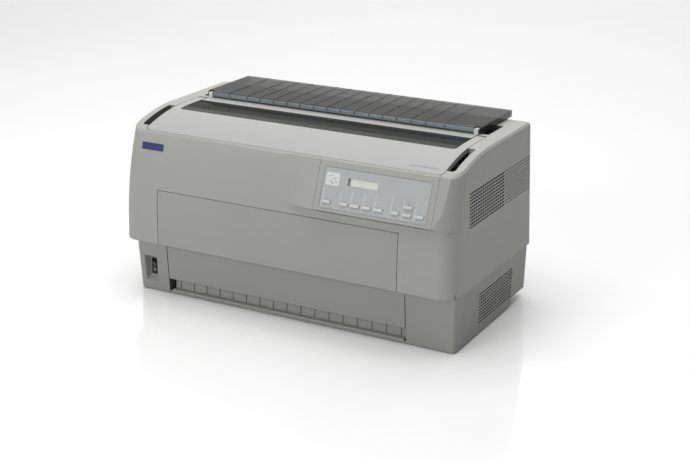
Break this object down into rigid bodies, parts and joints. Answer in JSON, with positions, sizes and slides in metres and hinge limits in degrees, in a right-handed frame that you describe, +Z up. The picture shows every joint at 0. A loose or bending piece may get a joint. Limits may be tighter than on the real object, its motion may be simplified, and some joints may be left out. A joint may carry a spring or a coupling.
{
  "type": "dot matrix printer",
  "caption": "Wide serial impact printer with paper entry, tractors, carriage, hinged covers and a control panel.",
  "frame": {"origin": "on the floor, under the middle of the outline", "axes": "+X to the right seen from the front, +Y to the rear, +Z up; the control panel faces -Y"},
  "size_m": [0.7, 0.3806, 0.3567],
  "materials": {
    "case_plastic": "fine moulded grain",
    "base_plastic": "fine moulded grain",
    "guide_plastic": "fine moulded grain",
    "rubber_black": "matt",
    "panel_film": "satin film",
    "board_green": "lacquered board",
    "lcd_face": "unlit display",
    "badge_blue": "satin, bare",
    "smoked_window": "smoked, clear",
    "smoked_cover": "smoked, clear",
    "white_plastic": "satin",
    "black_plastic": "satin",
    "sheet_steel": "zinc plated",
    "bright_steel": "ground",
    "platen_rubber": "matt",
    "gear_nylon": "satin",
    "motor_metal": "satin",
    "belt_rubber": "matt",
    "grey_metal": "as cast",
    "ribbon_fabric": "woven",
    "tractor_plastic": "satin",
    "lever_plastic": "satin",
    "button_plastic": "satin"
  },
  "bodies": {
    "case": {"upper_case": "case_plastic", "vent_slats": "case_plastic", "control_panel": "case_plastic", "base_case": "base_plastic", "paper_entry_guide": "guide_plastic", "rubber_feet": "rubber_black", "panel_sheet": "panel_film", "panel_board": "board_green", "main_board": "board_green", "power_supply": "board_green", "lcd_display": "lcd_face", "badge_plate": "badge_blue", "rear_cover_brackets": "white_plastic", "power_switch_body": "black_plastic", "ribbon_cartridge": "black_plastic", "fan_housing": "black_plastic", "ac_inlet": "black_plastic", "interface_ports": "black_plastic", "chassis_plate": "sheet_steel", "side_frame_left": "sheet_steel", "side_frame_right": "sheet_steel", "paper_exit_guide": "sheet_steel", "guide_shafts": "bright_steel", "feed_motor": "motor_metal", "carriage_motor": "motor_metal", "feed_belt": "belt_rubber", "timing_belt": "belt_rubber", "ink_ribbon": "ribbon_fabric"},
    "front_cover": {"front_cover": "case_plastic"},
    "lower_front_cover": {"lower_front_cover": "base_plastic"},
    "printer_cover": {"printer_cover": "case_plastic", "cover_window": "smoked_window"},
    "rear_cover": {"rear_cover": "smoked_cover"},
    "power_rocker": {"power_rocker": "black_plastic"},
    "button_1": {"button_1": "button_plastic"},
    "button_2": {"button_2": "button_plastic"},
    "button_3": {"button_3": "button_plastic"},
    "button_4": {"button_4": "button_plastic"},
    "button_5": {"button_5": "button_plastic"},
    "button_6": {"button_6": "button_plastic"},
    "button_7": {"button_7": "button_plastic"},
    "button_8": {"button_8": "button_plastic"},
    "button_9": {"button_9": "button_plastic"},
    "platen": {"platen": "platen_rubber", "platen_gear": "gear_nylon"},
    "feed_pinion": {"feed_pinion": "gear_nylon"},
    "tractor_shaft": {"tractor_shaft": "bright_steel", "tractor_pulley": "gear_nylon"},
    "carriage": {"carriage": "grey_metal", "print_head": "black_plastic"},
    "drive_pulley": {"drive_pulley": "gear_nylon"},
    "idler_pulley": {"idler_pulley": "gear_nylon"},
    "ribbon_knob": {"ribbon_knob": "black_plastic"},
    "tractor_left": {"tractor_left": "tractor_plastic"},
    "tractor_cover_left": {"tractor_cover_left": "tractor_plastic"},
    "tractor_lever_left": {"tractor_lever_left": "lever_plastic"},
    "tractor_right": {"tractor_right": "tractor_plastic"},
    "tractor_cover_right": {"tractor_cover_right": "tractor_plastic"},
    "tractor_lever_right": {"tractor_lever_right": "lever_plastic"},
    "fan_rotor": {"fan_rotor": "black_plastic"}
  },
  "joints": [
    {"name": "front_cover_hinge", "type": "hinge", "parent": "case", "child": "front_cover", "pos_m": [0, -0.1785, 0.11], "axis": [1, 0, 0], "range_deg": [0, 90]},
    {"name": "lower_front_cover_hinge", "type": "hinge", "parent": "case", "child": "lower_front_cover", "pos_m": [0, -0.16734, 0.0965], "axis": [-1, 0, 0], "range_deg": [0, 60]},
    {"name": "printer_cover_hinge", "type": "hinge", "parent": "case", "child": "printer_cover", "pos_m": [0, 0.024, 0.331], "axis": [-1, 0, 0], "range_deg": [0, 70]},
    {"name": "rear_cover_hinge", "type": "hinge", "parent": "case", "child": "rear_cover", "pos_m": [0, 0.043, 0.3485], "axis": [1, 0, 0], "range_deg": [0, 60]},
    {"name": "power_switch", "type": "hinge", "parent": "case", "child": "power_rocker", "pos_m": [-0.2965, -0.149, 0.047], "axis": [-1, 0, 0], "range_deg": [0, 16]},
    {"name": "button_1_press", "type": "slide", "parent": "case", "child": "button_1", "axis": [0, 0.9349, -0.355], "range_m": [0, 0.0015], "stiffness_N_per_m": 300},
    {"name": "button_2_press", "type": "slide", "parent": "case", "child": "button_2", "axis": [0, 0.9349, -0.355], "range_m": [0, 0.0015], "stiffness_N_per_m": 300},
    {"name": "button_3_press", "type": "slide", "parent": "case", "child": "button_3", "axis": [0, 0.9349, -0.355], "range_m": [0, 0.0015], "stiffness_N_per_m": 300},
    {"name": "button_4_press", "type": "slide", "parent": "case", "child": "button_4", "axis": [0, 0.9349, -0.355], "range_m": [0, 0.0015], "stiffness_N_per_m": 300},
    {"name": "button_5_press", "type": "slide", "parent": "case", "child": "button_5", "axis": [0, 0.9349, -0.355], "range_m": [0, 0.0015], "stiffness_N_per_m": 300},
    {"name": "button_6_press", "type": "slide", "parent": "case", "child": "button_6", "axis": [0, 0.9349, -0.355], "range_m": [0, 0.0015], "stiffness_N_per_m": 300},
    {"name": "button_7_press", "type": "slide", "parent": "case", "child": "button_7", "axis": [0, 0.9349, -0.355], "range_m": [0, 0.0015], "stiffness_N_per_m": 300},
    {"name": "button_8_press", "type": "slide", "parent": "case", "child": "button_8", "axis": [0, 0.9349, -0.355], "range_m": [0, 0.0015], "stiffness_N_per_m": 300},
    {"name": "button_9_press", "type": "slide", "parent": "case", "child": "button_9", "axis": [0, 0.9349, -0.355], "range_m": [0, 0.0015], "stiffness_N_per_m": 300},
    {"name": "platen_spin", "type": "hinge", "parent": "case", "child": "platen", "pos_m": [0, 0.01, 0.275], "axis": [1, 0, 0], "continuous": true},
    {"name": "feed_pinion_spin", "type": "hinge", "parent": "case", "child": "feed_pinion", "pos_m": [0, 0.0355, 0.23083], "axis": [1, 0, 0], "continuous": true},
    {"name": "tractor_shaft_spin", "type": "hinge", "parent": "case", "child": "tractor_shaft", "pos_m": [0, -0.112, 0.178], "axis": [1, 0, 0], "continuous": true},
    {"name": "carriage_slide", "type": "slide", "parent": "case", "child": "carriage", "axis": [1, 0, 0], "range_m": [-0.17, 0.17]},
    {"name": "drive_pulley_spin", "type": "hinge", "parent": "case", "child": "drive_pulley", "pos_m": [-0.262, -0.057, 0.219], "axis": [0, 0, 1], "range_deg": [-770, 770]},
    {"name": "idler_pulley_spin", "type": "hinge", "parent": "case", "child": "idler_pulley", "pos_m": [0.262, -0.057, 0.219], "axis": [0, 0, 1], "range_deg": [-770, 770]},
    {"name": "ribbon_knob_spin", "type": "hinge", "parent": "case", "child": "ribbon_knob", "pos_m": [-0.24, -0.125, 0.288], "axis": [0, 0, 1], "continuous": true},
    {"name": "tractor_left_slide", "type": "slide", "parent": "case", "child": "tractor_left", "axis": [1, 0, 0], "range_m": [-0.115, 0.115]},
    {"name": "tractor_cover_left_hinge", "type": "hinge", "parent": "tractor_left", "child": "tractor_cover_left", "pos_m": [-0.166, -0.1342, 0.178], "axis": [0, 0, -1], "range_deg": [0, 100]},
    {"name": "tractor_lever_left_turn", "type": "hinge", "parent": "tractor_left", "child": "tractor_lever_left", "pos_m": [-0.15, -0.112, 0.146], "axis": [1, 0, 0], "range_deg": [0, 50]},
    {"name": "tractor_right_slide", "type": "slide", "parent": "case", "child": "tractor_right", "axis": [1, 0, 0], "range_m": [-0.115, 0.115]},
    {"name": "tractor_cover_right_hinge", "type": "hinge", "parent": "tractor_right", "child": "tractor_cover_right", "pos_m": [0.166, -0.1342, 0.178], "axis": [0, 0, 1], "range_deg": [0, 100]},
    {"name": "tractor_lever_right_turn", "type": "hinge", "parent": "tractor_right", "child": "tractor_lever_right", "pos_m": [0.15, -0.112, 0.146], "axis": [1, 0, 0], "range_deg": [0, 50]},
    {"name": "fan_spin", "type": "hinge", "parent": "case", "child": "fan_rotor", "pos_m": [-0.3, 0.1, 0.18997], "axis": [1, 0, 0], "continuous": true}
  ],
  "couplings": [
    {"joint": "feed_pinion_spin", "follows": "platen_spin", "ratio": -2.4},
    {"joint": "tractor_shaft_spin", "follows": "platen_spin", "ratio": 1},
    {"joint": "drive_pulley_spin", "follows": "carriage_slide", "rad_per_m": 78.431},
    {"joint": "idler_pulley_spin", "follows": "carriage_slide", "rad_per_m": 78.431}
  ]
}
